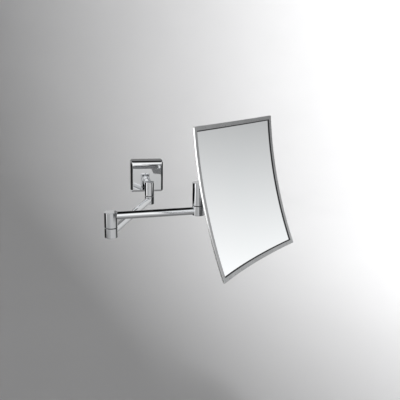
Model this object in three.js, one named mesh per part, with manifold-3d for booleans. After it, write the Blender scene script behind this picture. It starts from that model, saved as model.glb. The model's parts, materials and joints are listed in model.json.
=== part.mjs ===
// Extendable shaving mirror: a square wall plate, two swivelling arms and a dished square mirror.
// Millimetres, +Z up. The wall is the plane y = 0 and the mirror stands out from it along -Y.
// The origin is the centre of the wall plate's back face.

import * as THREE from 'three';
import { mergeVertices } from 'three/addons/utils/BufferGeometryUtils.js';
import Module from 'manifold-3d';

const wasm = await Module();
wasm.setup();

// ---- Driving dimensions ----

const GAP = 0.3; // room left between pieces that touch
const ROUND = 32; // facets round a cylinder
const DEG = Math.PI / 180;

// Wall plate
const PLATE_SIZE = 60;
const PLATE_DEPTH = 18;
const PLATE_EDGE_RADIUS = 4;
const PLATE_WALL = 1.8;
const BRACKET_SIZE = 48;
const BRACKET_THICKNESS = 4;
const WALL_SCREW_SPACING = 32;
const WALL_SCREW_HEIGHT = 10;
const WALL_SCREW_HOLE_RADIUS = 2.8;

// Stub that carries the wall barrel in front of the plate
const STUB_RADIUS = 6.75;
const STUB_HEIGHT = -10.5;
const WALL_AXIS_Y = -54;

// Swivels: each is a lower and an upper barrel, clamped together by a screw from below
const WALL_BARREL_RADIUS = 8.25;
const KNUCKLE_RADIUS = 9.5;
const LOWER_HEIGHT = 15;
const WALL_UPPER_HEIGHT = 25.5;
const ELBOW_UPPER_HEIGHT = 23;
const END_UPPER_HEIGHT = 35;
const SPLIT = 1.2; // width of the groove between the two barrels
const WASHER_RECESS = 0.6; // how far the friction washer stands back in the groove
const SCREW_RADIUS = 3;
const SCREW_HEAD_RADIUS = 4.6;
const SCREW_HEAD_HEIGHT = 3;
const SCREW_REACH = 12; // how far the screw goes up into the upper barrel
const COUNTERBORE_RADIUS = 5.4;
const CAP_THICKNESS = 1.5;
const SPRING_WASHER_THICKNESS = 1.2;

// Arms
const ARM_RADIUS = 5.65;
const ARM_BORE_RADIUS = 4.25;
const ARM_DROP = 8.5; // from a swivel's split down to the arm that the lower barrel carries
const WALL_ARM_DROP = 7.2; // the same at the wall barrel
const ARM_1_LENGTH = 196;
const ARM_2_LENGTH = 131;
const WALL_SPLIT_HEIGHT = -27.3;
const ARM_2_ABOVE_SPLIT = 16.9; // arm 2 leaves the upper barrel of the elbow
const MIRROR_STUB_ABOVE_SPLIT = 23.1; // the mirror's stub leaves the upper barrel of the end swivel

// Headings at rest, turned from +X about +Z, and the mirror's upward tilt
const ARM_1_HEADING = -113 * DEG;
const ARM_2_HEADING = 5 * DEG;
const MIRROR_HEADING = -47 * DEG;
const MIRROR_TILT = 15 * DEG;

// Tilt joint behind the mirror
const TILT_REACH = 43.3; // from the end swivel's axis to the tilt screw
const FORK_RADIUS = 8.5;
const FORK_START = 24;
const FORK_NOSE = 6.5;
const FORK_SLOT = 8.4;
const TONGUE_THICKNESS = 6;
const TONGUE_RADIUS = 6.5;
const TILT_SCREW_RADIUS = 2.5;
const TILT_HEAD_RADIUS = 4.2;
const TILT_HEAD_HEIGHT = 2.4;
const TILT_HEAD_SEAT = 7; // from the middle plane out to where the head and the nut sit
const TILT_WASHER_THICKNESS = 0.6;

// Mirror head: everything is dished to one sphere
const MIRROR_SIZE = 200;
const MIRROR_RADIUS = 650; // radius of the sphere
const BEZEL_WIDTH = 7;
const LIP_THICKNESS = 0.9;
const GLASS_THICKNESS = 2;
const PANEL_THICKNESS = 1.2;
const GLASS_SIZE = 192;
const RIM_SIDE = 3.4; // height of the rim's side wall, before its back edge is cut off at a slant
const CORNER_PLANE_REACH = 45.3; // from the tilt screw to the plane through the mirror's corners
const MOUNT_DISC_RADIUS = 22;
const MOUNT_DISC_THICKNESS = 4;
const DISH_SEGMENTS = 12;

// ---- Materials ----

const finish = (color, roughness, metalness) =>
  () => new THREE.MeshStandardMaterial({ color, roughness, metalness });

const chrome = finish(0xd8dadd, 0.08, 1);
const steel = finish(0x9a9da0, 0.35, 1);
const nylon = finish(0x1c1c1e, 0.6, 0);
const mirror = finish(0xe6eaee, 0.02, 1);
const satinChrome = finish(0x8f9192, 0.3, 1);

// ---- Solids: three.js geometry, joined and cut by manifold-3d ----

function toSolid(geometry) {
  const bare = geometry.clone();
  bare.deleteAttribute('normal');
  bare.deleteAttribute('uv');
  const merged = mergeVertices(bare, 1e-4);
  const index = merged.index.array;
  const corners = [];
  for (let i = 0; i < index.length; i += 3) {
    const [a, b, c] = [index[i], index[i + 1], index[i + 2]];
    if (a !== b && b !== c && c !== a) {
      corners.push(a, b, c);
    }
  }
  return new wasm.Manifold(new wasm.Mesh({
    numProp: 3,
    vertProperties: new Float32Array(merged.attributes.position.array),
    triVerts: new Uint32Array(corners),
  }));
}

function toGeometry(solid) {
  const mesh = solid.getMesh();
  const geometry = new THREE.BufferGeometry();
  geometry.setAttribute('position', new THREE.BufferAttribute(mesh.vertProperties, 3));
  geometry.setIndex(new THREE.BufferAttribute(mesh.triVerts, 1));
  geometry.computeVertexNormals();
  return geometry;
}

// A cylinder from one height to another along x, y or z.
function rod(radius, from, to, along = 'z', across = [0, 0]) {
  const geometry = new THREE.CylinderGeometry(radius, radius, to - from, ROUND);
  geometry.translate(0, (from + to) / 2, 0);
  if (along === 'z') {
    geometry.rotateX(Math.PI / 2);
    geometry.translate(across[0], across[1], 0);
  } else if (along === 'x') {
    geometry.rotateZ(-Math.PI / 2);
    geometry.translate(0, across[0], across[1]);
  } else {
    geometry.translate(across[0], 0, across[1]);
  }
  return toSolid(geometry);
}

// A box between two corners.
function block(low, high) {
  const size = high.map((value, i) => value - low[i]);
  const geometry = new THREE.BoxGeometry(...size);
  geometry.translate(...low.map((value, i) => value + size[i] / 2));
  return toSolid(geometry);
}

// A solid of revolution about z, from [radius, height] points that start and end on the axis.
function turned(points) {
  const geometry = new THREE.LatheGeometry(points.map(([r, z]) => new THREE.Vector2(r, z)), ROUND);
  geometry.rotateX(Math.PI / 2);
  return toSolid(geometry);
}

// A ring of square section about z.
function ring(outer, inner, from, to) {
  return rod(outer, from, to).subtract(rod(inner, from - 1, to + 1));
}

// A square slab dished to the mirror's sphere. Its front is its hollow face and looks along +X;
// x = 0 is the plane through the front corners of the mirror. A slant trims the back edge.
function dished(size, front, thickness, slant = 0) {
  const levels = 2;
  const geometry = new THREE.BoxGeometry(size, size, 1, DISH_SEGMENTS, DISH_SEGMENTS, levels);
  const position = geometry.attributes.position;
  const cornerSag = sag(MIRROR_SIZE / 2, MIRROR_SIZE / 2);
  for (let i = 0; i < position.count; i++) {
    const level = Math.round((0.5 - position.getZ(i)) * levels);
    const shrink = level === levels ? 1 - (2 * slant) / size : 1;
    const depth = [0, thickness - slant, thickness][level];
    const y = position.getX(i) * shrink;
    const z = position.getY(i) * shrink;
    position.setXYZ(i, sag(y, z) - cornerSag - front - depth, y, z);
  }
  return toSolid(geometry);
}

// How far the sphere has come forward at a point off its middle.
function sag(y, z) {
  return MIRROR_RADIUS - Math.sqrt(MIRROR_RADIUS ** 2 - y ** 2 - z ** 2);
}

// A square outline in x and z with round corners, extruded along y between two depths.
function roundedSquare(size, radius, from, to) {
  const half = size / 2;
  const straight = half - radius;
  const shape = new THREE.Shape();
  shape.moveTo(half, -straight);
  for (let quarter = 0; quarter < 4; quarter++) {
    const turn = quarter * 90 * DEG;
    const x = straight * (Math.cos(turn) - Math.sin(turn));
    const y = straight * (Math.cos(turn) + Math.sin(turn));
    shape.absarc(x, y, radius, turn, turn + 90 * DEG, false);
  }
  const geometry = new THREE.ExtrudeGeometry(shape, {
    depth: to - from,
    bevelEnabled: false,
    curveSegments: 4,
  });
  geometry.rotateX(Math.PI / 2);
  geometry.translate(0, to, 0);
  return toSolid(geometry);
}

// ---- Scene ----

const group = new THREE.Group();

function addPart(parent, name, solid, material) {
  const mesh = new THREE.Mesh(toGeometry(solid), material());
  mesh.name = name;
  parent.add(mesh);
}

function addGroup(parent, position, turnZ = 0, turnY = 0) {
  const child = new THREE.Group();
  child.position.set(...position);
  child.rotation.set(0, turnY, turnZ);
  parent.add(child);
  return child;
}

// ---- Wall plate ----

function makeWallPlate(parent) {
  const stubAt = [0, STUB_HEIGHT];
  const screwHead = { radius: 5, height: 2.2, seat: 2.6 };
  const stubScrewEnd = -18;

  // The bracket is screwed to the wall. A tab near its lower edge takes the cover's set screw.
  const half = BRACKET_SIZE / 2;
  const tab = { half: 7, depth: 13, bottom: -24.5, top: -21.5 };
  let bracket = block([-half, -BRACKET_THICKNESS, -half], [half, 0, half]);
  bracket = bracket.add(block([-tab.half, -tab.depth, tab.bottom], [tab.half, -1, tab.top]));
  bracket = bracket.subtract(rod(SCREW_RADIUS + GAP, -BRACKET_THICKNESS - 1, 1, 'y', stubAt));
  bracket = bracket.subtract(rod(screwHead.radius + GAP, -screwHead.seat, 1, 'y', stubAt));
  for (const side of [-1, 1]) {
    const at = [side * WALL_SCREW_SPACING / 2, WALL_SCREW_HEIGHT];
    bracket = bracket.subtract(rod(WALL_SCREW_HOLE_RADIUS, -BRACKET_THICKNESS - 1, 1, 'y', at));
  }
  addPart(parent, 'wall_bracket', bracket, steel);

  // The cover is a box open at the back, with a rounded front edge.
  const grub = { radius: 2, y: -9, top: tab.bottom - GAP };
  const steps = 4;
  let cover = roundedSquare(PLATE_SIZE, PLATE_EDGE_RADIUS, PLATE_EDGE_RADIUS - PLATE_DEPTH, 0);
  for (let step = 1; step <= steps; step++) {
    const angle = (step / steps) * 60 * DEG;
    const inset = PLATE_EDGE_RADIUS * (1 - Math.cos(angle));
    const front = -PLATE_DEPTH + PLATE_EDGE_RADIUS * (1 - Math.sin(angle));
    const nose = step === steps ? -PLATE_DEPTH : front;
    const corner = PLATE_EDGE_RADIUS - inset;
    cover = cover.add(roundedSquare(PLATE_SIZE - 2 * inset, corner, nose, -1));
  }
  const inside = PLATE_SIZE - 2 * PLATE_WALL;
  cover = cover.subtract(roundedSquare(inside, PLATE_EDGE_RADIUS - PLATE_WALL, PLATE_WALL - PLATE_DEPTH, 1));
  cover = cover.subtract(rod(STUB_RADIUS + GAP, -PLATE_DEPTH - 1, 0, 'y', stubAt));
  cover = cover.subtract(rod(grub.radius + GAP, -PLATE_SIZE / 2 - 1, grub.top, 'z', [0, grub.y]));
  addPart(parent, 'wall_cover', cover, chrome);
  const grubLow = -PLATE_SIZE / 2 + GAP;
  addPart(parent, 'cover_set_screw', rod(grub.radius, grubLow, grub.top, 'z', [0, grub.y]), steel);

  // The stub stands on the bracket, held by a screw from behind, and a stud joins the barrel to it.
  const stubBack = -BRACKET_THICKNESS - GAP;
  const studBack = WALL_AXIS_Y + WALL_BARREL_RADIUS + 10;
  const studFront = WALL_AXIS_Y - 3;
  let stub = rod(STUB_RADIUS, WALL_AXIS_Y, stubBack, 'y', stubAt);
  const saddle = rod(WALL_BARREL_RADIUS + GAP, -PLATE_SIZE, PLATE_SIZE, 'z', [0, WALL_AXIS_Y]);
  stub = stub.subtract(saddle);
  stub = stub.subtract(rod(SCREW_RADIUS + GAP, stubScrewEnd - GAP, stubBack + 1, 'y', stubAt));
  stub = stub.subtract(rod(SCREW_RADIUS + GAP, WALL_AXIS_Y, studBack + GAP, 'y', stubAt));
  addPart(parent, 'wall_stub', stub, chrome);
  let stubScrew = rod(SCREW_RADIUS, stubScrewEnd, -0.2, 'y', stubAt);
  stubScrew = stubScrew.add(rod(screwHead.radius, -screwHead.height, -0.2, 'y', stubAt));
  addPart(parent, 'stub_screw', stubScrew, steel);
  addPart(parent, 'stub_stud', rod(SCREW_RADIUS, studFront, studBack, 'y', stubAt), steel);

  const studHole = rod(SCREW_RADIUS + GAP, studFront - GAP, WALL_AXIS_Y + PLATE_SIZE / 2, 'y', stubAt);
  return studHole.translate([0, -WALL_AXIS_Y, -WALL_SPLIT_HEIGHT]);
}

// ---- Swivels ----

// Both barrels of a swivel and the parts that clamp them, about z, with the split at z = 0.
// The lower barrel, its cap and washers stay with lowerParent; the screw turns with the upper one.
function makeSwivel(name, radius, upperHeight, lowerParent, upperParent, upperCut = null) {
  const bottom = -LOWER_HEIGHT;
  const headLow = bottom + CAP_THICKNESS + GAP;
  const headTop = headLow + SCREW_HEAD_HEIGHT;
  const springLow = headTop + GAP;
  const springTop = springLow + SPRING_WASHER_THICKNESS;
  const shankHole = SCREW_RADIUS + GAP;

  let lower = rod(radius, bottom, -SPLIT / 2);
  lower = lower.subtract(rod(shankHole, bottom - 1, 1));
  lower = lower.subtract(rod(COUNTERBORE_RADIUS, bottom - 1, springTop + GAP));
  addPart(lowerParent, `${name}_lower`, lower, chrome);

  let upper = rod(radius, SPLIT / 2, upperHeight);
  upper = upper.subtract(rod(shankHole, 0, SCREW_REACH + GAP));
  if (upperCut) {
    upper = upper.subtract(upperCut);
  }
  addPart(upperParent, `${name}_upper`, upper, chrome);

  const screw = turned([
    [0, headLow],
    [SCREW_HEAD_RADIUS, headLow],
    [SCREW_HEAD_RADIUS, headTop],
    [SCREW_RADIUS, headTop],
    [SCREW_RADIUS, SCREW_REACH],
    [0, SCREW_REACH],
  ]);
  addPart(upperParent, `${name}_screw`, screw, steel);

  const washerHalf = SPLIT / 2 - GAP;
  const frictionWasher = ring(radius - WASHER_RECESS, shankHole, -washerHalf, washerHalf);
  const springWasher = ring(SCREW_HEAD_RADIUS, shankHole, springLow, springTop);
  addPart(lowerParent, `${name}_friction_washer`, frictionWasher, nylon);
  addPart(lowerParent, `${name}_spring_washer`, springWasher, steel);
  addPart(lowerParent, `${name}_cap`, rod(COUNTERBORE_RADIUS - GAP, bottom, bottom + CAP_THICKNESS), chrome);
}

// ---- Arms ----

// A tube along +X between two barrels on z, its ends shaped to sit against them.
function armTube(length, startRadius, endRadius) {
  let tube = rod(ARM_RADIUS, 0, length, 'x').subtract(rod(ARM_BORE_RADIUS, -1, length + 1, 'x'));
  const ends = [[0, startRadius], [length, endRadius]];
  for (const [x, radius] of ends) {
    tube = tube.subtract(rod(radius + GAP, -LOWER_HEIGHT, LOWER_HEIGHT, 'z', [x, 0]));
  }
  return tube;
}

// ---- Tilt joint and mirror head ----

// The fork and its screw stay with the stub. The tilt axis is y, through x = TILT_REACH.
function makeTiltFork(parent) {
  const nose = TILT_REACH + FORK_NOSE;
  const at = [TILT_REACH, 0];
  let stub = rod(ARM_RADIUS, 0, FORK_START - GAP, 'x');
  stub = stub.subtract(rod(KNUCKLE_RADIUS + GAP, -LOWER_HEIGHT, LOWER_HEIGHT));
  addPart(parent, 'mirror_stub', stub, chrome);

  const reach = FORK_RADIUS + 1;
  const slotStart = TILT_REACH - TONGUE_RADIUS - 1;
  let fork = rod(FORK_RADIUS, FORK_START, nose, 'x');
  fork = fork.subtract(block([slotStart, -FORK_SLOT / 2, -reach], [nose + 1, FORK_SLOT / 2, reach]));
  fork = fork.subtract(rod(TILT_SCREW_RADIUS + GAP, -reach, reach, 'y', at));
  for (const side of [-1, 1]) {
    const ends = [side * TILT_HEAD_SEAT, side * reach].sort((a, b) => a - b);
    fork = fork.subtract(rod(TILT_HEAD_RADIUS + GAP, ...ends, 'y', at));
  }
  addPart(parent, 'tilt_fork', fork, chrome);

  const head = TILT_HEAD_SEAT + GAP;
  const headEnd = head + TILT_HEAD_HEIGHT;
  let screw = rod(TILT_SCREW_RADIUS, -headEnd + 0.4, headEnd, 'y', at);
  screw = screw.add(rod(TILT_HEAD_RADIUS, head, headEnd, 'y', at));
  addPart(parent, 'tilt_screw', screw, steel);
  const nut = rod(TILT_HEAD_RADIUS, -headEnd, -head, 'y', at);
  const nutHole = rod(TILT_SCREW_RADIUS + GAP, -headEnd - 1, -head + 1, 'y', at);
  addPart(parent, 'tilt_nut', nut.subtract(nutHole), steel);

  const washerIn = TONGUE_THICKNESS / 2 + GAP;
  const washerOut = washerIn + TILT_WASHER_THICKNESS;
  const sides = { left: [washerIn, washerOut], right: [-washerOut, -washerIn] };
  for (const [side, [from, to]] of Object.entries(sides)) {
    const washer = rod(TONGUE_RADIUS, from, to, 'y', at);
    const hole = rod(TILT_SCREW_RADIUS + GAP, from - 1, to + 1, 'y', at);
    addPart(parent, `tilt_washer_${side}`, washer.subtract(hole), nylon);
  }
}

// The head tilts about y through its own origin and looks along +X.
function makeMirrorHead(parent) {
  const glassFront = LIP_THICKNESS + GAP;
  const panelFront = glassFront + GLASS_THICKNESS + GAP;
  const depth = panelFront + PANEL_THICKNESS;
  const pocket = GLASS_SIZE + 2 * GAP;
  const toCornerPlane = (solid) => solid.translate([CORNER_PLANE_REACH, 0, 0]);

  let frame = dished(MIRROR_SIZE, 0, depth, depth - RIM_SIDE);
  frame = frame.subtract(dished(MIRROR_SIZE - 2 * BEZEL_WIDTH, -1, depth + 2));
  frame = frame.subtract(dished(pocket, LIP_THICKNESS, depth));
  addPart(parent, 'mirror_frame', toCornerPlane(frame), satinChrome);
  addPart(parent, 'mirror_glass', toCornerPlane(dished(GLASS_SIZE, glassFront, GLASS_THICKNESS)), mirror);
  addPart(parent, 'back_panel', toCornerPlane(dished(GLASS_SIZE, panelFront, PANEL_THICKNESS)), chrome);

  // The mounting disc sits on the middle of the back panel and carries the tongue of the tilt joint.
  const panelBack = CORNER_PLANE_REACH - sag(MIRROR_SIZE / 2, MIRROR_SIZE / 2) - depth;
  const discFront = panelBack - GAP;
  const discBack = discFront - MOUNT_DISC_THICKNESS;
  let bracket = rod(MOUNT_DISC_RADIUS, discBack, discFront, 'x');
  const tongueHalf = TONGUE_THICKNESS / 2;
  bracket = bracket.add(block([0, -tongueHalf, -TONGUE_RADIUS], [discBack + 1, tongueHalf, TONGUE_RADIUS]));
  bracket = bracket.add(rod(TONGUE_RADIUS, -tongueHalf, tongueHalf, 'y'));
  bracket = bracket.subtract(rod(TILT_SCREW_RADIUS + GAP, -TONGUE_THICKNESS, TONGUE_THICKNESS, 'y'));
  addPart(parent, 'mirror_bracket', bracket, chrome);
}

// ---- Assembly ----

const wallMount = addGroup(group, [0, 0, 0]);
const studHole = makeWallPlate(wallMount);
const wallAxis = addGroup(wallMount, [0, WALL_AXIS_Y, WALL_SPLIT_HEIGHT]);

const arm1 = addGroup(group, [0, WALL_AXIS_Y, WALL_SPLIT_HEIGHT], ARM_1_HEADING);
makeSwivel('wall_barrel', WALL_BARREL_RADIUS, WALL_UPPER_HEIGHT, arm1, wallAxis, studHole);
const arm1Tube = armTube(ARM_1_LENGTH, WALL_BARREL_RADIUS, KNUCKLE_RADIUS).translate([0, 0, -WALL_ARM_DROP]);
addPart(arm1, 'arm_1_tube', arm1Tube, chrome);

const elbowRise = ARM_DROP - WALL_ARM_DROP;
const elbowLow = addGroup(arm1, [ARM_1_LENGTH, 0, elbowRise]);
const arm2 = addGroup(arm1, [ARM_1_LENGTH, 0, elbowRise], ARM_2_HEADING - ARM_1_HEADING);
makeSwivel('elbow', KNUCKLE_RADIUS, ELBOW_UPPER_HEIGHT, elbowLow, arm2);
const arm2Tube = armTube(ARM_2_LENGTH, KNUCKLE_RADIUS, KNUCKLE_RADIUS).translate([0, 0, ARM_2_ABOVE_SPLIT]);
addPart(arm2, 'arm_2_tube', arm2Tube, chrome);

const endHeight = ARM_2_ABOVE_SPLIT + ARM_DROP;
const endLow = addGroup(arm2, [ARM_2_LENGTH, 0, endHeight]);
const carrier = addGroup(arm2, [ARM_2_LENGTH, 0, endHeight], MIRROR_HEADING - ARM_2_HEADING);
makeSwivel('end_swivel', KNUCKLE_RADIUS, END_UPPER_HEIGHT, endLow, carrier);

const stubLevel = addGroup(carrier, [0, 0, MIRROR_STUB_ABOVE_SPLIT]);
makeTiltFork(stubLevel);
makeMirrorHead(addGroup(stubLevel, [TILT_REACH, 0, 0], 0, -MIRROR_TILT));

export default group;
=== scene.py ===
import json
import math

import bmesh
import bpy
import numpy as np
from mathutils import Matrix, Vector


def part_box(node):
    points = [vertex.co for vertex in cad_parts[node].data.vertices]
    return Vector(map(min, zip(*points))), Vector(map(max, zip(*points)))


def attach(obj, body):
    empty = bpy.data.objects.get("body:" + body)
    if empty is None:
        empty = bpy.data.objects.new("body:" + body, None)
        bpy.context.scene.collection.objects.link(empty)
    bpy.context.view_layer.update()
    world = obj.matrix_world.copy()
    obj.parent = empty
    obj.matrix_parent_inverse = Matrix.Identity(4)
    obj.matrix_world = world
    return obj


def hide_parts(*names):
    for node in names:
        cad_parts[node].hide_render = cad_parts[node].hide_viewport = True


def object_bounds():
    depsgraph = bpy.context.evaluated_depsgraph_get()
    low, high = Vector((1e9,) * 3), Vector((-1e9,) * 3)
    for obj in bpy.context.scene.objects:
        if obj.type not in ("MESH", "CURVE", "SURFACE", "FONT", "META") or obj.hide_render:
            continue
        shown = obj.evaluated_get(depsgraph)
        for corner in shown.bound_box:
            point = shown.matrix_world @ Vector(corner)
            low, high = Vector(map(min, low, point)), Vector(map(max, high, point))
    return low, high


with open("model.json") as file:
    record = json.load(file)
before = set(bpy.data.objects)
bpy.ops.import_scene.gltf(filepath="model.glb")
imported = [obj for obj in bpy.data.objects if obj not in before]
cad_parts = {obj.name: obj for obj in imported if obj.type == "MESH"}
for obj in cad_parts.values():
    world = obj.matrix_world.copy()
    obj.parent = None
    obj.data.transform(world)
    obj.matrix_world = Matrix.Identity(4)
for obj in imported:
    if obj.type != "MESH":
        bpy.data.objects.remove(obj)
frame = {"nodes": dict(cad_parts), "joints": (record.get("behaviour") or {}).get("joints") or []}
cad_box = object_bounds()

MM = 0.001
FACETS = 96  # round a turned piece
UP = Vector((0, 0, 1))
JOINTS = {joint["name"]: joint for joint in frame["joints"]}

# Sizes that no box in the frame shows
GAP = 0.3 * MM  # between pieces that touch or turn on each other
SNUG = 0.05 * MM  # between pieces that are brazed or pressed together
SWIVEL_HOLE = 3.3 * MM
TILT_HOLE = 2.8 * MM
TUBE_WALL = 1.4 * MM
COVER_WALL = 1.8 * MM
COVER_EDGE = 4 * MM  # width of the bevel round the cover's face, and radius of its corners
COVER_BEVEL = 5.2 * MM  # depth of that bevel
COVER_LEAN = math.radians(1.9)  # how far the top of the cover's face leans back
LEAN_FULL = 15 * MM  # height above the cover's middle where the lean has built up
COVER_ROLL = 9 * MM  # radius of the roll from the cover's face into its top side
GLASS_THICKNESS = 2 * MM
LIP_THICKNESS = 0.9 * MM
BEZEL_WIDTH = 7 * MM
RIM_SIDE = 2.7 * MM  # height of the rim's side wall, before its back edge slants in
RIM_SLANT = 3 * MM
RIM_ROUND = 0.6 * MM  # radius between the bezel and the side wall
LIP_CHAMFER = (1.5 * MM, 0.6 * MM)  # width and depth of the chamfer round the glass

# ---- Places, from the frame ----


def pivot(name):
    return Vector(JOINTS[name]["pos_m"])


def turned_to(origin, forward, up=UP):
    """A local frame at origin: x along forward, z as near to up as it gets, y to the left."""
    x = forward.normalized()
    y = up.cross(x).normalized()
    rows = Matrix((x, y, x.cross(y))).transposed().to_4x4()
    return Matrix.Translation(origin) @ rows


def level(vector):
    return Vector((vector.x, vector.y, 0))


def raised(local, height):
    return Matrix.Translation((0, 0, height)) @ local


def extent(node, local):
    """The lowest and highest corner of a CAD node in a local frame."""
    inverse = local.inverted()
    points = np.array([inverse @ v.co for v in frame["nodes"][node].data.vertices])
    return Vector(points.min(0)), Vector(points.max(0))


def looks_along(node):
    """The direction in which a dished square looks, along the axis of its sphere."""
    points = np.array([v.co for v in frame["nodes"][node].data.vertices])
    direction = Vector(np.linalg.svd(points - points.mean(0))[2][2])
    return direction if direction.y < 0 else -direction


WALL = pivot("wall_swivel")
ELBOW = pivot("elbow_swivel")
END = pivot("end_swivel")
TILT = pivot("mirror_tilt")
ARM_1 = turned_to(WALL, level(ELBOW - WALL))
ARM_2 = turned_to(ELBOW, level(END - ELBOW))
END_LOW = turned_to(END, level(END - ELBOW))
CARRIER = turned_to(END, level(TILT - END))
STUB_LEVEL = raised(CARRIER, TILT.z - END.z)
HEAD = turned_to(TILT, looks_along("mirror_glass"))

# ---- Materials ----


class Finish:
    """A material under construction: a Principled shader and the texture nodes in front of it."""

    def __init__(self, name, colour, metallic, roughness):
        self.material = bpy.data.materials.new(name)
        self.material.use_nodes = True
        self.tree = self.material.node_tree
        self.shader = self.tree.nodes["Principled BSDF"]
        self.shader.inputs["Base Color"].default_value = (*colour, 1)
        self.shader.inputs["Metallic"].default_value = metallic
        self.shader.inputs["Roughness"].default_value = roughness

    def node(self, kind, **inputs):
        node = self.tree.nodes.new(kind)
        for name, value in inputs.items():
            node.inputs[name.replace("_", " ")].default_value = value
        return node

    def link(self, output, target):
        self.tree.links.new(output, target)

    def noise(self, scale, detail, stretch=(1, 1, 1)):
        """Noise over the piece's own coordinates, with its grain drawn out where the stretch is below 1."""
        place = self.node("ShaderNodeTexCoord")
        mapping = self.node("ShaderNodeMapping", Scale=stretch)
        noise = self.node("ShaderNodeTexNoise", Scale=scale, Detail=detail, Roughness=0.55)
        self.link(place.outputs["Object"], mapping.inputs["Vector"])
        self.link(mapping.outputs["Vector"], noise.inputs["Vector"])
        return noise.outputs["Fac"]

    def spread(self, factor, low, high, start=0.3, end=0.7):
        """low where the factor is at start or below, high where it is at end or above, even between."""
        node = self.node("ShaderNodeMapRange", From_Min=start, From_Max=end, To_Min=low, To_Max=high)
        self.link(factor, node.inputs["Value"])
        return node.outputs["Result"]

    def blend(self, factor, one, other):
        """One colour where the factor is 0, the other where it is 1. Either may be a node's output."""
        node = self.node("ShaderNodeMix")
        node.data_type = "RGBA"
        self.link(factor, node.inputs["Factor"])
        sockets = [socket for socket in node.inputs if socket.type == "RGBA"]
        for socket, colour in zip(sockets, (one, other)):
            if isinstance(colour, bpy.types.NodeSocket):
                self.link(colour, socket)
            else:
                socket.default_value = (*colour, 1)
        return [socket for socket in node.outputs if socket.type == "RGBA"][0]

    def roughness(self, factor, low, high):
        self.link(self.spread(factor, low, high), self.shader.inputs["Roughness"])

    def colour(self, factor, dark, light):
        self.link(self.blend(self.spread(factor, 0, 1), dark, light), self.shader.inputs["Base Color"])

    def outward(self, middle):
        """Which way the surface faces: 1 straight away from a point, -1 straight towards it."""
        place = self.node("ShaderNodeTexCoord")
        away = self.node("ShaderNodeVectorMath")
        away.operation = "SUBTRACT"
        self.link(place.outputs["Object"], away.inputs[0])
        away.inputs[1].default_value = middle
        unit = self.node("ShaderNodeVectorMath")
        unit.operation = "NORMALIZE"
        self.link(away.outputs["Vector"], unit.inputs[0])
        facing = self.node("ShaderNodeVectorMath")
        facing.operation = "DOT_PRODUCT"
        self.link(unit.outputs["Vector"], facing.inputs[0])
        self.link(place.outputs["Normal"], facing.inputs[1])
        return facing.outputs["Value"]

    def bump(self, height, depth, under=None):
        """Raises the surface by height times depth, in metres, on top of another bump."""
        node = self.node("ShaderNodeBump", Strength=1, Distance=depth)
        self.link(height, node.inputs["Height"])
        if under:
            self.link(under, node.inputs["Normal"])
        self.link(node.outputs["Normal"], self.shader.inputs["Normal"])
        return node.outputs["Normal"]


SATIN_DARK = (0.33, 0.335, 0.34)
SATIN_LIGHT = (0.39, 0.395, 0.4)
POLISHED = (0.69, 0.7, 0.71)
# painted highlight for the rim's side walls, and painted shade for the lip round the glass
PAINTED_HIGHLIGHT_WALL = (0.95, 0.955, 0.96)
PAINTED_SHADE_LIP = (0.03, 0.03, 0.032)


def make_chrome():
    finish = Finish("chrome", POLISHED, 1, 0.03)
    smears = finish.noise(35, 6, (1, 1, 0.4))
    finish.colour(smears, (0.65, 0.66, 0.675), POLISHED)
    finish.roughness(finish.noise(90, 8), 0.012, 0.05)
    waves = finish.bump(finish.noise(30, 1), 0.03 * MM)
    finish.bump(finish.noise(1400, 2), 0.0006 * MM, waves)
    return finish.material


def make_satin_chrome():
    """Satin on the bezel's face, a painted highlight on its side walls and a painted shade on the lip round
    the glass.
    """
    finish = Finish("satin_chrome", SATIN_LIGHT, 1, 0.3)
    low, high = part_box("mirror_glass")
    outward = finish.outward((low + high) / 2)
    # masks for the painted highlight on the side walls, which are also smoother, and the painted shade on the
    # lip round the glass
    side_wall_highlight = finish.spread(outward, 0, 1, start=0.5, end=0.62)
    lip_shade = finish.spread(outward, 1, 0, start=-0.42, end=-0.3)
    face = finish.blend(finish.spread(finish.noise(60, 6), 0, 1), SATIN_DARK, SATIN_LIGHT)
    body = finish.blend(side_wall_highlight, face, PAINTED_HIGHLIGHT_WALL)
    finish.link(finish.blend(lip_shade, body, PAINTED_SHADE_LIP), finish.shader.inputs["Base Color"])
    smooth = finish.node("ShaderNodeMix", B=0.12)
    finish.link(side_wall_highlight, smooth.inputs["Factor"])
    finish.link(finish.spread(finish.noise(300, 6), 0.26, 0.34), smooth.inputs["A"])
    finish.link(smooth.outputs["Result"], finish.shader.inputs["Roughness"])
    finish.bump(finish.noise(3500, 3), 0.002 * MM)
    return finish.material


def make_brushed_chrome():
    """The pressed sheet behind the mirror, less smooth than the turned pieces."""
    finish = Finish("brushed_chrome", (0.84, 0.85, 0.86), 1, 0.2)
    finish.colour(finish.noise(40, 6, (1, 1, 0.2)), (0.8, 0.81, 0.825), (0.85, 0.86, 0.87))
    finish.roughness(finish.noise(200, 6, (1, 1, 0.1)), 0.16, 0.24)
    finish.bump(finish.noise(2400, 3, (1, 1, 0.05)), 0.002 * MM)
    return finish.material


def make_mirror():
    finish = Finish("mirror_glass", (0.93, 0.95, 0.96), 1, 0.004)
    wiped = finish.noise(14, 7, (1, 1, 0.3))
    finish.colour(wiped, (0.915, 0.94, 0.95), (0.935, 0.95, 0.958))
    finish.roughness(finish.noise(45, 8), 0.002, 0.012)
    return finish.material


def make_steel():
    finish = Finish("zinc_plated_steel", (0.6, 0.61, 0.62), 1, 0.3)
    finish.colour(finish.noise(160, 6), (0.5, 0.51, 0.52), (0.64, 0.65, 0.67))
    finish.roughness(finish.noise(420, 6), 0.24, 0.42)
    finish.bump(finish.noise(900, 5, (1, 1, 0.1)), 0.008 * MM)
    return finish.material


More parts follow.
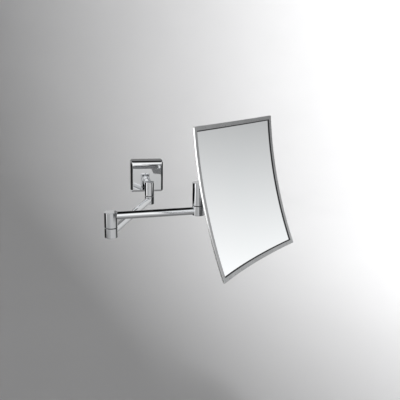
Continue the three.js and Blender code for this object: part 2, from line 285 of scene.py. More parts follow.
def make_nylon():
    finish = Finish("black_nylon", (0.02, 0.02, 0.022), 0, 0.55)
    finish.colour(finish.noise(500, 4), (0.016, 0.016, 0.018), (0.03, 0.03, 0.033))
    finish.roughness(finish.noise(700, 4), 0.48, 0.66)
    finish.bump(finish.noise(2600, 4), 0.01 * MM)
    return finish.material


FINISHES = {
    "chrome": make_chrome(),
    "satin_chrome": make_satin_chrome(),
    "brushed_chrome": make_brushed_chrome(),
    "mirror_glass": make_mirror(),
    "steel": make_steel(),
    "nylon": make_nylon(),
}

# ---- Mesh work ----


def skin(name, rings, local, closed=False):
    """A closed mesh over a row of rings. A ring of one point is a pole, and an open end gets a cap."""
    bm = bmesh.new()
    rows = [[bm.verts.new(local @ Vector(point)) for point in ring] for ring in rings]
    pairs = list(zip(rows, rows[1:]))
    if closed:
        pairs.append((rows[-1], rows[0]))
    for one, other in pairs:
        count = max(len(one), len(other))
        for i in range(count):
            j = (i + 1) % count
            corners = [one[i % len(one)], one[j % len(one)], other[j % len(other)], other[i % len(other)]]
            bm.faces.new(list(dict.fromkeys(corners)))
    if not closed:
        for row in (rows[0], rows[-1]):
            if len(row) > 1:
                bm.faces.new(row)
    bmesh.ops.recalc_face_normals(bm, faces=bm.faces)
    mesh = bpy.data.meshes.new(name)
    bm.to_mesh(mesh)
    bm.free()
    piece = bpy.data.objects.new(name, mesh)
    bpy.context.scene.collection.objects.link(piece)
    return piece


def rounded(corners):
    """A closed outline of (u, v) or (u, v, radius) corners, each with its radius worked in."""
    steps = 4
    outline = []
    count = len(corners)
    for i, corner in enumerate(corners):
        here = Vector(corner[:2])
        radius = corner[2] if len(corner) > 2 else 0
        before = Vector(corners[i - 1][:2]) - here
        after = Vector(corners[(i + 1) % count][:2]) - here
        if radius == 0:
            outline.append(tuple(here))
            continue
        angle = before.angle(after)
        run = radius / math.tan(angle / 2)
        inward = (before.normalized() + after.normalized()).normalized()
        middle = here + inward * radius / math.sin(angle / 2)
        start = here + before.normalized() * run - middle
        end = here + after.normalized() * run - middle
        sweep = math.pi - angle
        for step in range(steps + 1):
            share = step / steps
            weights = math.sin((1 - share) * sweep), math.sin(share * sweep)
            outline.append(tuple(middle + (start * weights[0] + end * weights[1]) / math.sin(sweep)))
    return outline


def circle(radius, height, sides=0):
    """A ring round z: a circle, or a polygon with its corners at the radius."""
    ring = []
    for i in range(FACETS):
        angle = 2 * math.pi * i / FACETS
        reach = radius
        if sides:
            half = math.pi / sides
            reach = radius * math.cos(half) / math.cos(angle % (2 * half) - half)
        ring.append((reach * math.cos(angle), reach * math.sin(angle), height))
    return ring


def turned(name, outline, local, closed=False):
    """A piece turned about z from (radius, height) points, or (radius, height, sides) for a polygon."""
    rings = []
    for radius, *rest in outline:
        rings.append([(0, 0, rest[0])] if radius < 1e-9 else circle(radius, *rest))
    return skin(name, rings, local, closed)


def rod(name, radius, start, end, local, edge=0.0):
    """A plain rod along z, with its end edges rounded."""
    outline = rounded([(0, start), (radius, start, edge), (radius, end, edge), (0, end)])
    return turned(name, outline, local)


def tube(name, outer, inner, start, end, local):
    """A tube along x. Its ends follow start(y) and end(y), so that they sit against round barrels."""
    rings = []
    for radius, x_at in ((outer, start), (outer, end), (inner, end), (inner, start)):
        rings.append([(x_at(y), y, z) for y, z, _ in circle(radius, 0)])
    return skin(name, rings, local, closed=True)


def against(centre, radius, side):
    """Where a tube's end lies against a barrel: x as a function of the point's offset from the axis."""
    return lambda y: centre + side * math.sqrt((radius + SNUG) ** 2 - y ** 2)


def final_mesh(piece):
    """Works the modifiers into the mesh."""
    graph = bpy.context.evaluated_depsgraph_get()
    mesh = bpy.data.meshes.new_from_object(piece.evaluated_get(graph))
    piece.modifiers.clear()
    piece.data = mesh


def carve(piece, cut, edge, joined=()):
    """Joins and cuts with other solids, then rounds the edges."""
    for others, operation in ((joined, "UNION"), (cut, "DIFFERENCE")):
        for other in others:
            boolean = piece.modifiers.new("boolean", "BOOLEAN")
            boolean.operation = operation
            boolean.object = other
            boolean.solver = "EXACT"
    final_mesh(piece)
    for other in (*joined, *cut):
        bpy.data.objects.remove(other)
    weld = piece.modifiers.new("weld", "WELD")
    weld.merge_threshold = 0.01 * MM
    bevel = piece.modifiers.new("edge", "BEVEL")
    bevel.width = edge
    bevel.segments = 3
    bevel.limit_method = "ANGLE"
    bevel.angle_limit = math.radians(35)
    final_mesh(piece)
    return piece


def block(name, low, high, local):
    """A box between two corners, to be cut, joined or rounded by carve."""
    x0, y0, z0 = low
    x1, y1, z1 = high
    rings = [[(x0, y0, z), (x1, y0, z), (x1, y1, z), (x0, y1, z)] for z in (z0, z1)]
    return skin(name, rings, local)


def done(piece, body, slot, node, finish=None):
    """Gives a piece its finish, its shading and its place in the frame."""
    piece.data.materials.clear()
    piece.data.materials.append(FINISHES[finish or slot])
    piece.data.polygons.foreach_set("use_smooth", [True] * len(piece.data.polygons))
    piece.data.set_sharp_from_angle(angle=math.radians(35))
    normals = piece.modifiers.new("weighted_normals", "WEIGHTED_NORMAL")
    normals.keep_sharp = True
    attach(piece, body)
    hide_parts(node)


def along_axis(local, axis):
    """The local frame turned so that its z runs along its own x, y or -y axis."""
    turns = {"x": Vector((1, 0, 0)), "y": Vector((0, 1, 0)), "-y": Vector((0, -1, 0))}
    return local @ turns[axis].to_track_quat("Z", "Y").to_matrix().to_4x4()


# ---- Wall plate ----


def square_outline(half, radius, per_side, per_corner):
    """Points round a square with round corners, as (u, v), starting at the middle of the right side."""
    points = []
    for quarter in range(4):
        turn = Matrix.Rotation(quarter * math.pi / 2, 2)
        run = half - radius
        for i in range(per_side):
            points.append(turn @ Vector((half, run * (2 * i / per_side - 1))))
        for i in range(per_corner):
            angle = math.pi / 2 * i / per_corner
            points.append(turn @ Vector((run + radius * math.cos(angle), run + radius * math.sin(angle))))
    return points


def lean(height, half):
    """How far back the cover's face stands at a height: its top leans back and rolls into the top side."""
    above = max(height, 0)
    if above < LEAN_FULL:
        leaned = COVER_LEAN * above ** 2 / (2 * LEAN_FULL)
    else:
        leaned = COVER_LEAN * (above - LEAN_FULL / 2)
    into_roll = max(height - (half - COVER_ROLL), 0)
    rolled = COVER_ROLL - math.sqrt(max(COVER_ROLL ** 2 - into_roll ** 2, 0))
    return leaned + rolled


def cover_bevel():
    """The bevel round the face, as (distance in from the side, distance back from the face) points."""
    bevel = rounded([
        (2 * COVER_EDGE, 0), (COVER_EDGE, 0, 1.2 * MM), (0, COVER_BEVEL, 1.5 * MM), (0, 2 * COVER_BEVEL),
    ])[1:-1]
    middle = len(bevel) // 2
    flat_start, flat_end = (Vector(point) for point in bevel[middle - 1:middle + 1])
    flat_steps = 10
    bevel[middle:middle] = [flat_start.lerp(flat_end, step / flat_steps) for step in range(1, flat_steps)]
    return bevel


def set_screw_place():
    """A local frame on the set screw's axis, and the screw's lowest and highest corners."""
    low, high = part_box("cover_set_screw")
    return Matrix.Translation(((low.x + high.x) / 2, (low.y + high.y) / 2, 0)), low, high


def make_cover():
    """A bevelled cover, open at the back, with a hole for the stub. Its top leans back and rolls over."""
    low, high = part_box("wall_cover")
    half = (high.x - low.x) / 2
    depth = high.y - low.y
    stub_low, stub_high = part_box("wall_stub")
    hole_z = (stub_low.z + stub_high.z) / 2
    hole_radius = (stub_high.x - stub_low.x) / 2 + GAP
    centre = Vector((0, hole_z))

    def inset(distance):
        radius = max(COVER_EDGE - distance, 0.4 * MM)
        return square_outline(half - distance, radius, per_side=28, per_corner=8)

    def ring(points, back_from_front):
        return [(p.x, -depth + max(back_from_front, lean(p.y, half)), p.y) for p in points]

    hole = [centre + (point - centre).normalized() * hole_radius for point in inset(0)]
    rings = []
    bevel = cover_bevel()
    face_edge = inset(bevel[0][0])
    face_steps = 26
    for step in range(face_steps + 1):
        share = math.sin(math.pi / 2 * step / face_steps)
        rings.append(ring([h.lerp(edge, share) for h, edge in zip(hole, face_edge)], 0))
    for distance, back in bevel[1:]:
        rings.append(ring(inset(distance), back))
    back_edge = 0.3 * MM
    rings.append([(p.x, -back_edge, p.y) for p in inset(0)])
    rings.append([(p.x, 0, p.y) for p in inset(back_edge)])
    inner = inset(COVER_WALL)
    rings.append([(p.x, 0, p.y) for p in inner])
    rings.append([(p.x, -depth + max(COVER_EDGE, lean(p.y, half) + COVER_WALL), p.y) for p in inner])
    inner_steps = 6
    for step in range(inner_steps + 1):
        share = 1 - step / inner_steps
        rings.append(ring([h.lerp(edge, share) for h, edge in zip(hole, face_edge)], 0))
        rings[-1] = [(x, y + COVER_WALL, z) for x, y, z in rings[-1]]
    cover = skin("cover", rings, Matrix.Identity(4), closed=True)
    upright, screw_low, screw_high = set_screw_place()
    screw_hole = (screw_high.x - screw_low.x) / 2 + GAP
    hole_cutter = rod("cutter", screw_hole, low.z - MM, low.z + 3 * MM, upright)
    boolean = cover.modifiers.new("boolean", "BOOLEAN")
    boolean.object = hole_cutter
    boolean.solver = "EXACT"
    weld = cover.modifiers.new("weld", "WELD")
    weld.merge_threshold = 0.01 * MM
    final_mesh(cover)
    bpy.data.objects.remove(hole_cutter)
    done(cover, "wall_mount", "chrome", "wall_cover")


def make_set_screw():
    """A set screw with a hexagonal socket in its lower end."""
    upright, low, high = set_screw_place()
    radius = (high.x - low.x) / 2
    socket = radius * 0.55
    socket_top = low.z + 2 * MM
    outline = rounded([
        (0, high.z), (radius, high.z, 0.3 * MM), (radius, low.z, 0.3 * MM), (socket, low.z),
    ])[:-1]
    outline += [(socket, low.z, 6), (socket, socket_top, 6), (0, socket_top)]
    done(turned("set_screw", outline, upright), "wall_mount", "steel", "cover_set_screw")


def make_wall_stub():
    low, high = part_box("wall_stub")
    radius = (high.x - low.x) / 2
    local = turned_to(Vector((0, 0, (low.z + high.z) / 2)), Vector((0, -1, 0)))
    barrel_low, barrel_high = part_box("wall_barrel_upper")
    end = against(-WALL.y, (barrel_high.x - barrel_low.x) / 2, -1)
    stub = tube("stub", radius, SWIVEL_HOLE, lambda y: -high.y, end, local)
    done(stub, "wall_mount", "chrome", "wall_stub")


# ---- Swivels ----


def make_swivel(name, upper_body, lower_body, local):
    """The two barrels of a swivel with the washer between them and the cap in the underside."""
    edge = 0.45 * MM
    split_edge = 0.25 * MM
    low, high = extent(f"{name}_upper", local)
    upper_radius = high.x
    screw_top = extent(f"{name}_screw", local)[1].z + GAP
    outline = rounded([
        (0, screw_top), (SWIVEL_HOLE, screw_top), (SWIVEL_HOLE, low.z),
        (upper_radius, low.z, split_edge), (upper_radius, high.z, edge), (0, high.z),
    ])
    done(turned(f"{name}_top", outline, local), upper_body, "chrome", f"{name}_upper")
    low, high = extent(f"{name}_lower", local)
    radius = high.x
    cap_low, cap_high = extent(f"{name}_cap", local)
    bore = cap_high.x + GAP
    bore_top = extent(f"{name}_spring_washer", local)[1].z + GAP
    outline = rounded([
        (SWIVEL_HOLE, bore_top), (SWIVEL_HOLE, high.z), (radius, high.z, split_edge),
        (radius, low.z, edge), (bore, low.z, 0.15 * MM), (bore, bore_top),
    ])
    done(turned(f"{name}_bottom", outline, local, closed=True), lower_body, "chrome", f"{name}_lower")
    cap = rod(f"{name}_plug", bore - 0.12 * MM, cap_low.z + 0.1 * MM, cap_high.z, local, 0.2 * MM)
    done(cap, lower_body, "chrome", f"{name}_cap")
    low, high = extent(f"{name}_friction_washer", local)
    outline = rounded([
        (SWIVEL_HOLE, low.z), (high.x, low.z, 0.12 * MM),
        (high.x, high.z, 0.12 * MM), (SWIVEL_HOLE, high.z),
    ])
    washer = turned(f"{name}_washer", outline, local, closed=True)
    done(washer, lower_body, "nylon", f"{name}_friction_washer")
    return upper_radius


# ---- Arms ----


def make_arm(name, local, span, start_radius, end_radius):
    """A tube between two barrels. Its body has the arm's name."""
    low, high = extent(f"{name}_tube", local)
    middle = raised(local, (low.z + high.z) / 2)
    radius = (high.y - low.y) / 2
    start = against(0, start_radius, 1)
    end = against(span.xy.length, end_radius, -1)
    arm = tube(name, radius, radius - TUBE_WALL, start, end, middle)
    done(arm, name, "chrome", f"{name}_tube")


# ---- Tilt joint ----


def make_fork(knuckle_radius):
    """The tube from the end swivel and the slotted fork on it. Gives back the hinge and the nut's corners."""
    stub_radius = extent("mirror_stub", STUB_LEVEL)[1].y
    fork_low, fork_high = extent("tilt_fork", STUB_LEVEL)
    start = against(0, knuckle_radius, 1)
    stub = tube("fork_stub", stub_radius, TUBE_WALL, start, lambda y: fork_low.x - SNUG, STUB_LEVEL)
    done(stub, "mirror_carrier", "chrome", "mirror_stub")
    across = along_axis(STUB_LEVEL, "x")
    radius = fork_high.y
    fork = rod("fork", radius, fork_low.x, fork_high.x, across, 0.8 * MM)
    washer_low, washer_high = extent("tilt_washer_left", STUB_LEVEL)
    slot_half = washer_high.y + GAP
    slot_start = washer_low.x - MM
    reach = radius + MM
    slot_end = fork_high.x + MM
    slot = block("cutter", (slot_start, -slot_half, -reach), (slot_end, slot_half, reach), STUB_LEVEL)
    hinge = along_axis(Matrix.Translation(TILT) @ STUB_LEVEL.to_3x3().to_4x4(), "y")
    cutters = [slot, rod("cutter", TILT_HOLE, -reach, reach, hinge)]
    nut_low, nut_high = extent("tilt_nut", hinge)
    for side in (-1, 1):
        seat = sorted((side * (-nut_high.z - GAP), side * reach))
        cutters.append(rod("cutter", nut_high.x + GAP, *seat, hinge))
    carve(fork, cut=cutters, edge=0.35 * MM)
    done(fork, "mirror_carrier", "chrome", "tilt_fork")
    return hinge, nut_low, nut_high


def make_tilt_joint(knuckle_radius):
    """The fork, and its screw, nut and washers."""
    hinge, nut_low, nut_high = make_fork(knuckle_radius)
    head = -nut_high.z
    top = -nut_low.z
    radius = nut_high.x
    shank = TILT_HOLE - GAP
    key = 1.9 * MM
    key_edge = key + 0.3 * MM
    key_bottom = top - 1.6 * MM
    tip = -top + 0.4 * MM
    outline = rounded([
        (0, tip), (shank, tip, 0.3 * MM), (shank, head),
        (radius, head, 0.15 * MM), (radius, top, 0.5 * MM), (key_edge, top),
    ])
    outline += [(key, top - 0.25 * MM, 6), (key, key_bottom, 6), (0, key_bottom)]
    done(turned("tilt_bolt", outline, hinge), "mirror_carrier", "steel", "tilt_screw")
    bore = shank + 0.1 * MM
    flat_radius = radius * 0.86
    chamfer = 0.35 * MM
    nut = turned("tilt_lock_nut", [
        (bore, -head), (flat_radius, -head), (radius, -head - chamfer, 6), (radius, -top + chamfer, 6),
        (flat_radius, -top), (bore + 0.3 * MM, -top), (bore, -top + 0.3 * MM),
    ], hinge, closed=True)
    done(nut, "mirror_carrier", "steel", "tilt_nut")
    for side in ("left", "right"):
        low, high = extent(f"tilt_washer_{side}", hinge)
        outline = rounded([
            (TILT_HOLE, low.z), (high.x, low.z, 0.15 * MM),
            (high.x, high.z, 0.15 * MM), (TILT_HOLE, high.z),
        ])
        washer = turned(f"tilt_shim_{side}", outline, hinge, closed=True)
        done(washer, "mirror_carrier", "nylon", f"tilt_washer_{side}")


# ---- Mirror head ----

GLASS_LOW, GLASS_HIGH = extent("mirror_glass", HEAD)
GLASS_HALF = GLASS_HIGH.y
SAG_AT_CORNER = GLASS_HIGH.x - GLASS_LOW.x - GLASS_THICKNESS
DISH_RADIUS = (SAG_AT_CORNER ** 2 + 2 * GLASS_HALF ** 2) / (2 * SAG_AT_CORNER)
FRAME_HIGH = extent("mirror_frame", HEAD)[1]
FRAME_HALF = FRAME_HIGH.y
CORNER_PLANE = FRAME_HIGH.x
PANEL_LOW, PANEL_HIGH = extent("back_panel", HEAD)
PANEL_FRONT = LIP_THICKNESS + GLASS_THICKNESS + 2 * GAP
PANEL_THICKNESS = PANEL_HIGH.x - PANEL_LOW.x - SAG_AT_CORNER
DISH_ROWS = 64


def sag(y, z):
    """How far the sphere has come forward at a point off its middle."""
    return DISH_RADIUS - math.sqrt(DISH_RADIUS ** 2 - y ** 2 - z ** 2)


def dish(y, z, depth):
    """A point on the dished square, at a depth behind its front face."""
    return CORNER_PLANE - sag(FRAME_HALF, FRAME_HALF) + sag(y, z) - depth, y, z


def slab(name, half, front, thickness, local):
    """A dished square sheet with even rows of faces and a small chamfer all round."""
    edge = 0.35 * MM
    back = front + thickness
    inner = half - edge
    steps = [inner * (2 * i / DISH_ROWS - 1) for i in range(DISH_ROWS + 1)]
    rings = []
    for z in (-half, *steps, half):
        inset = edge if abs(z) == half else 0
        ring = [dish(y, z, front + inset) for y in steps]
        ring += [dish(half, z, front + edge), dish(half, z, back - edge)]
        ring += [dish(y, z, back - inset) for y in reversed(steps)]
        ring += [dish(-half, z, back - edge), dish(-half, z, front + edge)]
        rings.append(ring)
    return skin(name, rings, local)


def make_frame():
    """The rim: a bezel over the edge of the glass, a side wall and a slanted back edge."""
    depth = PANEL_FRONT + PANEL_THICKNESS
    inner = FRAME_HALF - BEZEL_WIDTH
    pocket = GLASS_HALF + GAP
    section = rounded([
        (inner + LIP_CHAMFER[0], 0, 0.1 * MM), (FRAME_HALF, 0, RIM_ROUND), (FRAME_HALF, RIM_SIDE, 0.5 * MM),
        (FRAME_HALF - RIM_SLANT, depth, 0.25 * MM), (pocket, depth), (pocket, LIP_THICKNESS),
        (inner, LIP_THICKNESS), (inner, LIP_CHAMFER[1], 0.1 * MM),
    ])
    corner = 1.6 * MM
    rings = []
    for half, back in section:
        radius = max(corner - (FRAME_HALF - half), 0.3 * MM)
        outline = square_outline(half, radius, per_side=40, per_corner=4)
        rings.append([dish(p.x, p.y, back) for p in outline])
    done(skin("rim", rings, HEAD, closed=True), "mirror_head", "satin_chrome", "mirror_frame")


def make_glass():
    glass = slab("glass", GLASS_HALF, LIP_THICKNESS + GAP, GLASS_THICKNESS, HEAD)
    done(glass, "mirror_head", "mirror_glass", "mirror_glass")


def make_back_sheet():
    panel = slab("back_sheet", PANEL_HIGH.y, PANEL_FRONT, PANEL_THICKNESS, HEAD)
    done(panel, "mirror_head", "chrome", "back_panel", finish="brushed_chrome")


def make_bracket():
    """The round disc on the back sheet, and the tongue that the fork holds."""
    high = extent("mirror_bracket", HEAD)[1]
    washer_low, washer_high = extent("tilt_washer_left", along_axis(HEAD, "y"))
    thickness = 4 * MM
    disc = rod("bracket", high.y, high.x - thickness, high.x, along_axis(HEAD, "x"), 0.9 * MM)
    tongue_radius = washer_high.x
    tongue_half = washer_low.z - GAP
    tongue_low = (0, -tongue_half, -tongue_radius)
    tongue_high = (high.x - 1 * MM, tongue_half, tongue_radius)
    tongue = block("joined", tongue_low, tongue_high, HEAD)
    hinge = along_axis(HEAD, "y")
    eye = rod("joined", tongue_radius, -tongue_half, tongue_half, hinge)
    hole = rod("cutter", TILT_HOLE, -tongue_radius, tongue_radius, hinge)
    carve(disc, joined=[tongue, eye], cut=[hole], edge=0.4 * MM)
    done(disc, "mirror_head", "chrome", "mirror_bracket")


# ---- Assembly ----

make_cover()
make_set_screw()
make_wall_stub()
wall_radius = make_swivel("wall_barrel", "wall_mount", "arm_1", ARM_1)
knuckle_radius = make_swivel("elbow", "arm_2", "arm_1", ARM_2)
make_swivel("end_swivel", "mirror_carrier", "arm_2", END_LOW)
make_arm("arm_1", ARM_1, ELBOW - WALL, wall_radius, knuckle_radius)
make_arm("arm_2", ARM_2, END - ELBOW, knuckle_radius, knuckle_radius)
make_tilt_joint(knuckle_radius)
make_frame()
make_glass()
make_back_sheet()
make_bracket()

# Pieces that keep their CAD shape and only get a finish
CAD_STEEL = ["wall_bracket", "stub_screw", "stub_stud"]
for swivel in ("wall_barrel", "elbow", "end_swivel"):
    CAD_STEEL += [f"{swivel}_screw", f"{swivel}_spring_washer"]
for node in CAD_STEEL:
    mesh = frame["nodes"][node].data
    mesh.materials.clear()
    mesh.materials.append(FINISHES["steel"])

# ---- Camera ----


def make_camera():
    """The camera stands in front of the wall plate, a little above it, and looks down to the right."""
    place = Vector((-0.1057, -0.9630, 0.2077))
    yaw, pitch, roll = (math.radians(angle) for angle in (-12.33, 14.83, -1.32))
    forward = Vector((-math.sin(yaw) * math.cos(pitch), math.cos(yaw) * math.cos(pitch), -math.sin(pitch)))
    right = Vector((math.cos(yaw), math.sin(yaw), 0))
    down = forward.cross(right)
    rolled_right = math.cos(roll) * right + math.sin(roll) * down
    rolled_down = -math.sin(roll) * right + math.cos(roll) * down
    axes = Matrix((rolled_right, -rolled_down, -forward)).transposed().to_4x4()
    data = bpy.data.cameras.new("camera")
    data.lens = 47.12
    data.sensor_width = 36
    data.clip_start = 0.01
    camera = bpy.data.objects.new("camera", data)
    camera.matrix_world = Matrix.Translation(place) @ axes
    bpy.context.scene.collection.objects.link(camera)
    bpy.context.scene.camera = camera
    return place


camera_place = make_camera()

# ---- Studio ----


def make_stage_part(name, rings):
    """A pale painted surface through a row of rings, which reflections don't see."""
    bm = bmesh.new()
    rows = [[bm.verts.new(point) for point in ring] for ring in rings]
    for one, other in zip(rows, rows[1:]):
        for i in range(FACETS):
            corners = [one[i % len(one)], one[(i + 1) % FACETS % len(one)],
                       other[(i + 1) % FACETS], other[i]]
            bm.faces.new(list(dict.fromkeys(corners)))
    mesh = bpy.data.meshes.new(name)
    bm.to_mesh(mesh)
    bm.free()
    mesh.polygons.foreach_set("use_smooth", [True] * len(mesh.polygons))
    part = bpy.data.objects.new(name, mesh)
    bpy.context.scene.collection.objects.link(part)
    paint = Finish(name, (0.72, 0.72, 0.725), 0, 0.8)
    paint.colour(paint.noise(1.5, 3), (0.70, 0.70, 0.705), (0.73, 0.73, 0.735))
    mesh.materials.append(paint.material)
    part.visible_glossy = False
    return part


def make_floor():
    """A round pale floor that curves up, and above it a wall that neither lights nor shades anything."""
    height = -0.36
    flat = 1.3
    rise = 1.5
    rings = [[(0, 0, height)]]
    for radius in (0.3, 0.8, flat):
        rings.append([(x * radius, y * radius, height) for x, y, _ in circle(1, 0)])
    steps = 20
    floor_steps = 16  # the rest of the curve belongs to the wall
    last_floor_ring = len(rings) + floor_steps - 1
    for step in range(1, steps + 1):
        angle = math.pi / 2 * step / steps
        radius = flat + rise * math.sin(angle)
        top = height + rise * (1 - math.cos(angle))
        rings.append([(x * radius, y * radius, top) for x, y, _ in circle(1, 0)])
    for top in (2, 3, 4):
        rings.append([(x, y, top) for x, y, _ in rings[-1]])
    make_stage_part("floor", rings[:last_floor_ring + 1])
    backdrop = make_stage_part("backdrop", rings[last_floor_ring:])
    backdrop.visible_diffuse = False
    backdrop.visible_shadow = False


def make_light(name, place, target, size, power):
    """A round soft light that reflections don't see."""
    data = bpy.data.lights.new(name, "AREA")
    data.shape = "DISK"
    data.size = size
    data.energy = power
    light = bpy.data.objects.new(name, data)
    light.location = place
    light.rotation_euler = (Vector(target) - Vector(place)).to_track_quat("-Z", "Y").to_euler()
    light.visible_glossy = False
    bpy.context.scene.collection.objects.link(light)


class World:
    """The light round the object. Reflections see a studio of bright and dark bands; the rest is plain."""

    def __init__(self):
        world = bpy.data.worlds.new("studio")
        bpy.context.scene.world = world
        world.use_nodes = True
        self.tree = world.node_tree
        self.tree.nodes.clear()

    def node(self, kind, **settings):
        node = self.tree.nodes.new(kind)
        for name, value in settings.items():
            setattr(node, name, value)
        return node

    def math(self, operation, *values):
        node = self.node("ShaderNodeMath", operation=operation)
        self.feed(node.inputs, values)
        return node.outputs[0]

    def vector(self, operation, *values):
        node = self.node("ShaderNodeVectorMath", operation=operation)
        self.feed(node.inputs, values)
        return node.outputs["Value" if operation == "DOT_PRODUCT" else "Vector"]

    def feed(self, sockets, values):
        """Gives each socket its number, or links it to the output it is fed from."""
        for socket, value in zip(sockets, values):
            if isinstance(value, bpy.types.NodeSocket):
                self.tree.links.new(value, socket)
            else:
                socket.default_value = value

    def step(self, value, start, end):
        """0 before start, 1 after end, smooth between."""
        node = self.node("ShaderNodeMapRange", interpolation_type="SMOOTHSTEP")
        self.feed(node.inputs, (value, start, end, 0, 1))
        return node.outputs["Result"]

    def mix(self, factor, one, other):
        node = self.node("ShaderNodeMix", data_type="FLOAT")
        self.feed((node.inputs[0], node.inputs[2], node.inputs[3]), (factor, one, other))
        return node.outputs[0]

    def ramp(self, height, bands):
        """Brightness against elevation, from (degrees, brightness) pairs."""
        brightest = 2  # a curve's own values only go up to 1
        node = self.node("ShaderNodeFloatCurve")
        curve = node.mapping.curves[0]
        points = [((math.sin(math.radians(angle)) + 1) / 2, value / brightest) for angle, value in bands]
        while len(curve.points) < len(points):
            curve.points.new(0.5, 0.5)
        for point, (x, y) in zip(curve.points, points):
            point.location = (x, y)
            point.handle_type = "VECTOR"
        node.mapping.update()
        shifted = self.math("MULTIPLY_ADD", height, 0.5, 0.5)
        self.tree.links.new(shifted, node.inputs["Value"])
        return self.math("MULTIPLY", node.outputs["Value"], brightest)


# What the chrome sees. For each stretch of azimuth: where it starts, how softly, and its brightness against
# elevation. The angles are in degrees. Azimuth is 0 towards the camera and 90 to the camera's right.
# These numbers were fitted to the photo: a scratch program traced which way each piece reflects and printed
# how bright the photo makes each direction, and part of the table repeats what it printed.
BEHIND = [
    (-90, 0.3), (-60, 0.3), (-45, 0.14), (-30, 0.3), (-12, 0.35), (0, 0.3), (11.5, 0.25),
    (12.5, 0.66), (24, 0.62), (28, 0.02), (90, 0),
]
STUDIO = [
    (-180, 1, BEHIND),
    (-146, 6, [
        (-90, 0.07), (-57, 0.07), (-45, 0.1), (-30, 0.3), (-21, 0.3), (-20, 0), (-9.5, 0),
        (-8, 1.5), (0, 2), (14, 1.6), (25, 1), (38, 0.3), (45, 0.05), (90, 0),
    ]),
    (-103, 3, [
        (-90, 0.07), (-46, 0.1), (-42, 1.6), (-24, 1.8), (-20, 0.05), (-9.5, 0), (-8, 1.5), (0, 2),
        (14, 1.6), (25, 1), (38, 0.3), (45, 0.05), (90, 0),
    ]),
    (-88, 3, [
        (-90, 0.07), (-46, 0.1), (-42, 1.6), (-26, 1.8), (-22, 0.3), (-18, 0.3), (-16.5, 0.04),
        (6, 0.04), (10, 0.5), (20, 0.8), (30, 0.5), (45, 0.05), (90, 0),
    ]),
    (-77, 2, [
        (-90, 0.15), (-45, 0.25), (-33, 0.27), (-22, 0.15), (-19, 0.2), (-14, 1.9), (-6, 1.9),
        (-3, 0.75), (10, 0.9), (25, 1.1), (52, 1.1), (56, 0.01), (90, 0),
    ]),
    (-60, 2, [
        (-90, 0.15), (-45, 0.25), (-33, 0.27), (-21, 0.38), (-16, 0.48), (-8, 0.6), (0, 0.75),
        (10, 0.9), (25, 1.1), (52, 1.1), (56, 0.01), (90, 0),
    ]),
    (-34, 4, [
        (-90, 0.2), (-36, 0.4), (-32, 0.45), (-30, 1.8), (-26, 1.8), (-24, 0.4), (-16, 0.55),
        (-5, 0.8), (10, 1), (27, 1.05), (52, 1.3), (56, 0.01), (90, 0),
    ]),
    (-2, 8, [
        (-90, 0.2), (-73, 0.24), (-60, 0.28), (-51, 0.36), (-39, 0.47), (-27, 0.6), (-15, 0.7),
        (-9, 0.77), (-3, 0.96), (3, 1.1), (9, 1.4), (27, 1.47), (39, 1.33), (44, 1.2), (50, 0.7),
        (57, 0.3), (64, 0.05), (90, 0),
    ]),
    (50, 10, [
        (-90, 0.24), (-73, 0.24), (-57, 0.32), (-39, 0.5), (-27, 0.6), (-21, 0.68), (-17.3, 0.65),
        (-16, 0.1), (-8.5, 0.1), (-7, 0.5), (0, 0.8), (14, 1.08), (52, 1.1), (58, 0.05), (90, 0),
    ]),
    (84, 8, [
        (-90, 0.25), (-69, 0.25), (-21, 0.55), (-17.3, 0.5), (-16, 0), (-8.5, 0), (-7, 0.35),
        (-1, 0.46), (1, 0.53), (3, 0.63), (5, 0.78), (7, 0.9), (9, 0.94), (20, 1), (52, 1),
        (58, 0.02), (90, 0),
    ]),
    (107, 13, [
        (-90, 0.25), (-69, 0.25), (-30, 0.1), (-20, 0), (-9.5, 0), (-8, 0.5), (-3, 0.62),
        (-1, 0.72), (1, 0.86), (3, 1), (9, 1.05), (20, 1), (27, 0.5), (35, 0.02), (90, 0),
    ]),
    (140, 5, [
        (-90, 0.27), (-60, 0.25), (-30, 0.4), (-20, 0.5), (-12, 0.68), (-5, 0.8), (3, 0.85),
        (24, 0.85), (29, 0.05), (90, 0),
    ]),
    (170, 6, BEHIND),
]
BACKDROP_LIGHT = 0.27  # what lights the floor from all round


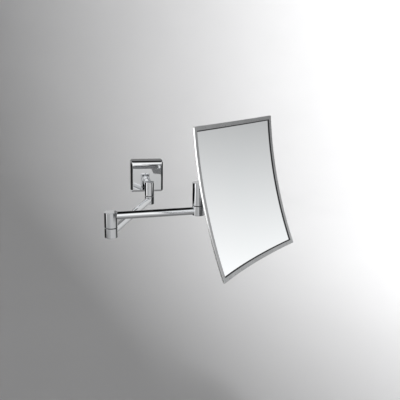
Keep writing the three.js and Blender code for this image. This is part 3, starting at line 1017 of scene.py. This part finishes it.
def make_world():
    world = World()
    place = world.node("ShaderNodeTexCoord").outputs["Generated"]
    direction = world.vector("NORMALIZE", place)
    height = world.vector("DOT_PRODUCT", direction, (0, 0, 1))
    centre = (Vector(cad_box[0]) + Vector(cad_box[1])) / 2
    front = level(camera_place - centre).normalized()
    right = Vector((-front.y, front.x, 0))
    forward = world.vector("DOT_PRODUCT", direction, tuple(front))
    rightward = world.vector("DOT_PRODUCT", direction, tuple(right))
    azimuth = world.math("DEGREES", world.math("ARCTAN2", rightward, forward))
    studio = world.ramp(height, STUDIO[0][2])
    for start, softness, bands in STUDIO[1:]:
        edge = world.step(azimuth, start - softness, start + softness)
        studio = world.mix(edge, studio, world.ramp(height, bands))
    paths = world.node("ShaderNodeLightPath")
    light = world.mix(paths.outputs["Is Glossy Ray"], BACKDROP_LIGHT, studio)
    background = world.node("ShaderNodeBackground")
    world.tree.links.new(light, background.inputs["Color"])
    output = world.node("ShaderNodeOutputWorld")
    world.tree.links.new(background.outputs[0], output.inputs["Surface"])


def make_card(name, low, high):
    """A glowing card that only reflections see. Gives back its paint."""
    card = block(name, low, high, Matrix.Identity(4))
    paint = Finish(name, (0, 0, 0), 0, 1)
    paint.shader.inputs["Emission Color"].default_value = (1, 1, 1, 1)
    card.data.materials.append(paint.material)
    card.visible_camera = False
    card.visible_diffuse = False
    card.visible_shadow = False
    return paint


def make_wall_card():
    """The lit stretch of wall just above the plate."""
    low = (-0.06, 0.001, 0.031)
    high = (0.06, 0.002, 0.11)
    paint = make_card("wall_card", low, high)
    paint.shader.inputs["Emission Strength"].default_value = 0.25


def make_mirror_card():
    """The soft light that the mirror sees: brighter below than above, and fading out round its edge."""
    middle = Vector((0.4, -0.225, 0.03))
    half_width = 0.13
    half_height = 0.17
    reach = Vector((0, half_width, half_height))
    thickness = Vector((0.001, 0, 0))
    paint = make_card("mirror_card", middle - reach, middle + reach + thickness)
    place = paint.node("ShaderNodeTexCoord")
    parts = paint.node("ShaderNodeSeparateXYZ")
    paint.link(place.outputs["Object"], parts.inputs["Vector"])
    glow = paint.spread(parts.outputs["Z"], 1.14, 0.51, start=-0.09, end=0.13)
    paint.link(glow, paint.shader.inputs["Emission Strength"])
    mapping = paint.node("ShaderNodeMapping", Location=middle, Scale=(1, half_width, half_height))
    mapping.vector_type = "TEXTURE"
    paint.link(place.outputs["Object"], mapping.inputs["Vector"])
    distance = paint.node("ShaderNodeVectorMath")
    distance.operation = "LENGTH"
    paint.link(mapping.outputs["Vector"], distance.inputs[0])
    fade = paint.spread(distance.outputs["Value"], 1, 0, start=0.78, end=0.99)
    paint.link(fade, paint.shader.inputs["Alpha"])


make_floor()
make_wall_card()
make_mirror_card()
make_light("right_light", place=(0.515, -0.436, 1.895), target=(6.8, 1.5, 0.72), size=1.0, power=185)
make_world()
bpy.context.scene.view_settings.view_transform = "Standard"
